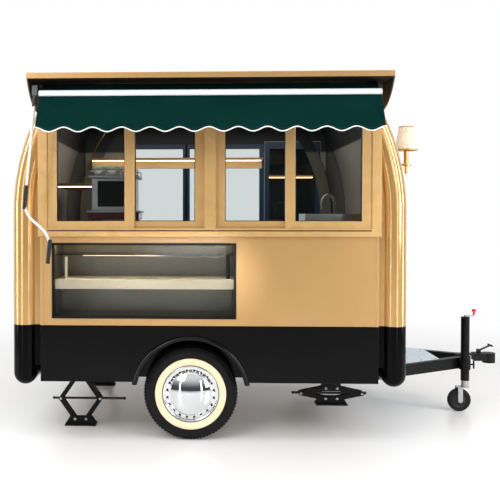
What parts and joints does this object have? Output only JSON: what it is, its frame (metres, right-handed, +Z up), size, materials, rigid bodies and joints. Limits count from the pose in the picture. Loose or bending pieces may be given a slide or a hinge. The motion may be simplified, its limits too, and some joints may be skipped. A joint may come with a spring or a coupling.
{
  "type": "coffee trailer",
  "caption": "Single-axle coffee trailer with rounded ends, sliding serving window, display case, folding-arm awning, jacks and jockey wheel.",
  "frame": {"origin": "middle of the trailer's footprint, on the ground", "axes": "+X towards the drawbar, -Y out of the serving window, +Z up"},
  "size_m": [3.406, 2.36, 2.276],
  "materials": {
    "black_steel": "satin",
    "tread_plate": "matte",
    "axle_steel": "satin",
    "black_gloss": "gloss",
    "tyre": "matte",
    "wheel_chrome": "polished",
    "zinc_steel": "satin",
    "solid_rubber": "matte",
    "floor_ply": "matte",
    "gold_panel": "painted, satin metallic",
    "gold_moulding": "painted, satin metallic",
    "gold_metal": "painted, satin metallic",
    "black_panel": "painted, gloss",
    "dark_metal": "satin",
    "glass": "clear",
    "black_plastic": "satin",
    "cream_board": "painted, satin",
    "counter_board": "clad in brushed steel",
    "grey_metal": "satin",
    "green_cloth": "woven",
    "white_metal": "powder coated",
    "brass": "polished",
    "shade_fabric": "pleated"
  },
  "bodies": {
    "trailer": {"chassis_frame": "black_steel", "drawbar_plate": "tread_plate", "coupler_head": "black_steel", "axle_beam": "axle_steel", "mudguards": "black_gloss", "jockey_clamp": "black_steel", "floor_deck": "floor_ply", "front_panel": "gold_panel", "skirts": "black_panel", "end_caps": "gold_moulding", "end_boots": "black_gloss", "back_wall": "gold_panel", "roof_slab": "gold_panel", "roof_wings": "dark_metal", "window_frame": "gold_panel", "fixed_glass": "glass", "display_frame": "black_plastic", "display_shelf": "cream_board", "counter": "counter_board", "awning_rail": "grey_metal", "awning_cloth": "green_cloth", "sconce_arm": "brass", "sconce_shade": "shade_fabric", "jack_mounts": "black_steel"},
    "coupler_lever": {"coupler_lever": "black_steel"},
    "near_wheel": {"near_tyre": "tyre", "near_wheel": "wheel_chrome"},
    "far_wheel": {"far_tyre": "tyre", "far_wheel": "wheel_chrome"},
    "jockey_tube": {"jockey_tube": "zinc_steel"},
    "jockey_fork": {"jockey_fork": "zinc_steel"},
    "jockey_wheel": {"jockey_wheel": "solid_rubber"},
    "jockey_handle": {"jockey_handle": "zinc_steel"},
    "left_sash": {"sash_left": "gold_metal", "pane_left": "glass"},
    "right_sash": {"sash_right": "gold_metal", "pane_right": "glass"},
    "back_door": {"back_door": "gold_panel"},
    "awning_roller": {"awning_roller": "green_cloth"},
    "awning_bar": {"awning_bar": "white_metal", "awning_valance": "green_cloth"},
    "left_inner_arm": {"left_inner_arm": "white_metal"},
    "left_outer_arm": {"left_outer_arm": "white_metal"},
    "right_inner_arm": {"right_inner_arm": "white_metal"},
    "right_outer_arm": {"right_outer_arm": "white_metal"},
    "awning_crank": {"awning_crank": "white_metal"},
    "rear_jack_upper_left": {"rear_jack_upper_left": "black_steel"},
    "rear_jack_upper_right": {"rear_jack_upper_right": "black_steel"},
    "rear_jack_lower_left": {"rear_jack_lower_left": "black_steel"},
    "rear_jack_lower_right": {"rear_jack_lower_right": "black_steel"},
    "rear_jack_foot": {"rear_jack_foot": "black_steel"},
    "rear_jack_screw": {"rear_jack_screw": "zinc_steel"},
    "rear_jack_nut": {"rear_jack_nut": "zinc_steel"},
    "front_jack_upper_left": {"front_jack_upper_left": "black_steel"},
    "front_jack_upper_right": {"front_jack_upper_right": "black_steel"},
    "front_jack_lower_left": {"front_jack_lower_left": "black_steel"},
    "front_jack_lower_right": {"front_jack_lower_right": "black_steel"},
    "front_jack_foot": {"front_jack_foot": "black_steel"},
    "front_jack_screw": {"front_jack_screw": "zinc_steel"},
    "front_jack_nut": {"front_jack_nut": "zinc_steel"}
  },
  "joints": [
    {"name": "near_wheel_spin", "type": "hinge", "parent": "trailer", "child": "near_wheel", "pos_m": [-0.568, -0.7775, 0.3], "axis": [0, 1, 0], "continuous": true},
    {"name": "far_wheel_spin", "type": "hinge", "parent": "trailer", "child": "far_wheel", "pos_m": [-0.568, 0.9975, 0.3], "axis": [0, 1, 0], "continuous": true},
    {"name": "jockey_wind", "type": "slide", "parent": "trailer", "child": "jockey_tube", "axis": [0, 0, 1], "range_m": [-0.18, 0.038]},
    {"name": "jockey_swivel", "type": "hinge", "parent": "jockey_tube", "child": "jockey_fork", "pos_m": [1.432, -0.03608, 0.19], "axis": [0, 0, 1], "continuous": true},
    {"name": "jockey_wheel_spin", "type": "hinge", "parent": "jockey_fork", "child": "jockey_wheel", "pos_m": [1.39, -0.03608, 0.083], "axis": [0, 1, 0], "continuous": true},
    {"name": "jockey_handle_turn", "type": "hinge", "parent": "trailer", "child": "jockey_handle", "pos_m": [1.432, -0.03608, 0.7], "axis": [0, 0, 1], "range_deg": [-3241, 685]},
    {"name": "coupler_release", "type": "hinge", "parent": "trailer", "child": "coupler_lever", "pos_m": [1.582, 0.11, 0.418], "axis": [0, -1, 0], "range_deg": [0, 60]},
    {"name": "back_door_swing", "type": "hinge", "parent": "trailer", "child": "back_door", "pos_m": [0.557, 1.119, 1.2], "axis": [0, 0, -1], "range_deg": [0, 100]},
    {"name": "left_sash_slide", "type": "slide", "parent": "trailer", "child": "left_sash", "axis": [1, 0, 0], "range_m": [0, 0.428]},
    {"name": "right_sash_slide", "type": "slide", "parent": "trailer", "child": "right_sash", "axis": [-1, 0, 0], "range_m": [0, 0.428]},
    {"name": "awning_extend", "type": "slide", "parent": "trailer", "child": "awning_bar", "axis": [0, -1, 0], "range_m": [0, 0.56643], "deforming": ["awning_cloth"]},
    {"name": "awning_roll", "type": "hinge", "parent": "trailer", "child": "awning_roller", "pos_m": [-0.458, -1.02, 2.2], "axis": [-1, 0, 0], "range_deg": [-1, 956.37]},
    {"name": "left_shoulder", "type": "hinge", "parent": "trailer", "child": "left_inner_arm", "pos_m": [-1.358, -0.98488, 2.133], "axis": [0, 0, -1], "range_deg": [-0.05, 20.55]},
    {"name": "left_elbow", "type": "hinge", "parent": "left_inner_arm", "child": "left_outer_arm", "pos_m": [-0.53953, -1.03494, 2.146], "axis": [0, 0, 1], "range_deg": [-0.1, 41.1]},
    {"name": "right_shoulder", "type": "hinge", "parent": "trailer", "child": "right_inner_arm", "pos_m": [0.442, -0.98488, 2.133], "axis": [0, 0, 1], "range_deg": [-0.05, 20.55]},
    {"name": "right_elbow", "type": "hinge", "parent": "right_inner_arm", "child": "right_outer_arm", "pos_m": [-0.37647, -1.03494, 2.146], "axis": [0, 0, -1], "range_deg": [-0.1, 41.1]},
    {"name": "crank_turn", "type": "hinge", "parent": "trailer", "child": "awning_crank", "pos_m": [-1.499, -1.11, 2.15], "axis": [-0.1011, 0, -0.9949], "range_deg": [-1, 3822.48]},
    {"name": "rear_jack_fold", "type": "hinge", "parent": "trailer", "child": "rear_jack_upper_left", "pos_m": [-1.36, 0.11, 0.32], "axis": [0, 1, 0], "range_deg": [0, 43.44]},
    {"name": "rear_jack_upper_right_pin", "type": "hinge", "parent": "trailer", "child": "rear_jack_upper_right", "pos_m": [-1.284, 0.11, 0.32], "axis": [0, 1, 0], "range_deg": [-43.54, 0.1]},
    {"name": "rear_jack_lower_left_pin", "type": "hinge", "parent": "rear_jack_upper_left", "child": "rear_jack_lower_left", "pos_m": [-1.45644, 0.11, 0.18], "axis": [0, 1, 0], "range_deg": [-86.98, 0.1]},
    {"name": "rear_jack_lower_right_pin", "type": "hinge", "parent": "rear_jack_upper_right", "child": "rear_jack_lower_right", "pos_m": [-1.18756, 0.11, 0.18], "axis": [0, 1, 0], "range_deg": [-0.1, 86.98]},
    {"name": "rear_jack_foot_pin", "type": "hinge", "parent": "rear_jack_lower_left", "child": "rear_jack_foot", "pos_m": [-1.36, 0.11, 0.04], "axis": [0, 1, 0], "range_deg": [-0.1, 43.54]},
    {"name": "rear_jack_screw_pin", "type": "hinge", "parent": "rear_jack_upper_left", "child": "rear_jack_screw", "pos_m": [-1.45644, 0.11, 0.18], "axis": [0, 1, 0], "range_deg": [-43.54, 0.1]},
    {"name": "rear_jack_nut_pin", "type": "hinge", "parent": "rear_jack_upper_right", "child": "rear_jack_nut", "pos_m": [-1.18756, 0.11, 0.18], "axis": [0, 1, 0], "range_deg": [-0.1, 43.54]},
    {"name": "front_jack_fold", "type": "hinge", "parent": "trailer", "child": "front_jack_upper_left", "pos_m": [0.34, 0.11, 0.266], "axis": [0, 1, 0], "range_deg": [-29.46, 0]},
    {"name": "front_jack_upper_right_pin", "type": "hinge", "parent": "trailer", "child": "front_jack_upper_right", "pos_m": [0.416, 0.11, 0.266], "axis": [0, 1, 0], "range_deg": [-0.1, 29.56]},
    {"name": "front_jack_lower_left_pin", "type": "hinge", "parent": "front_jack_upper_left", "child": "front_jack_lower_left", "pos_m": [0.17371, 0.11, 0.23066], "axis": [0, 1, 0], "range_deg": [-0.1, 59.02]},
    {"name": "front_jack_lower_right_pin", "type": "hinge", "parent": "front_jack_upper_right", "child": "front_jack_lower_right", "pos_m": [0.58229, 0.11, 0.23066], "axis": [0, 1, 0], "range_deg": [-59.02, 0.1]},
    {"name": "front_jack_foot_pin", "type": "hinge", "parent": "front_jack_lower_left", "child": "front_jack_foot", "pos_m": [0.34, 0.11, 0.19531], "axis": [0, 1, 0], "range_deg": [-29.56, 0.1]},
    {"name": "front_jack_screw_pin", "type": "hinge", "parent": "front_jack_upper_left", "child": "front_jack_screw", "pos_m": [0.17371, 0.11, 0.23066], "axis": [0, 1, 0], "range_deg": [-0.1, 29.56]},
    {"name": "front_jack_nut_pin", "type": "hinge", "parent": "front_jack_upper_right", "child": "front_jack_nut", "pos_m": [0.58229, 0.11, 0.23066], "axis": [0, 1, 0], "range_deg": [-29.56, 0.1]}
  ],
  "couplings": [
    {"joint": "jockey_handle_turn", "follows": "jockey_wind", "rad_per_m": 314.16},
    {"joint": "awning_roll", "follows": "awning_extend", "rad_per_m": 29.412},
    {"joint": "left_shoulder", "follows": "awning_extend", "rad_per_m": 0.63111},
    {"joint": "left_elbow", "follows": "awning_extend", "rad_per_m": 1.2622},
    {"joint": "right_shoulder", "follows": "awning_extend", "rad_per_m": 0.63111},
    {"joint": "right_elbow", "follows": "awning_extend", "rad_per_m": 1.2622},
    {"joint": "crank_turn", "follows": "awning_extend", "rad_per_m": 117.65},
    {"joint": "rear_jack_upper_right_pin", "follows": "rear_jack_fold", "ratio": -1},
    {"joint": "rear_jack_lower_left_pin", "follows": "rear_jack_fold", "ratio": -2},
    {"joint": "rear_jack_lower_right_pin", "follows": "rear_jack_fold", "ratio": 2},
    {"joint": "rear_jack_foot_pin", "follows": "rear_jack_fold", "ratio": 1},
    {"joint": "rear_jack_screw_pin", "follows": "rear_jack_fold", "ratio": -1},
    {"joint": "rear_jack_nut_pin", "follows": "rear_jack_fold", "ratio": 1},
    {"joint": "front_jack_upper_right_pin", "follows": "front_jack_fold", "ratio": -1},
    {"joint": "front_jack_lower_left_pin", "follows": "front_jack_fold", "ratio": -2},
    {"joint": "front_jack_lower_right_pin", "follows": "front_jack_fold", "ratio": 2},
    {"joint": "front_jack_foot_pin", "follows": "front_jack_fold", "ratio": 1},
    {"joint": "front_jack_screw_pin", "follows": "front_jack_fold", "ratio": -1},
    {"joint": "front_jack_nut_pin", "follows": "front_jack_fold", "ratio": 1}
  ]
}
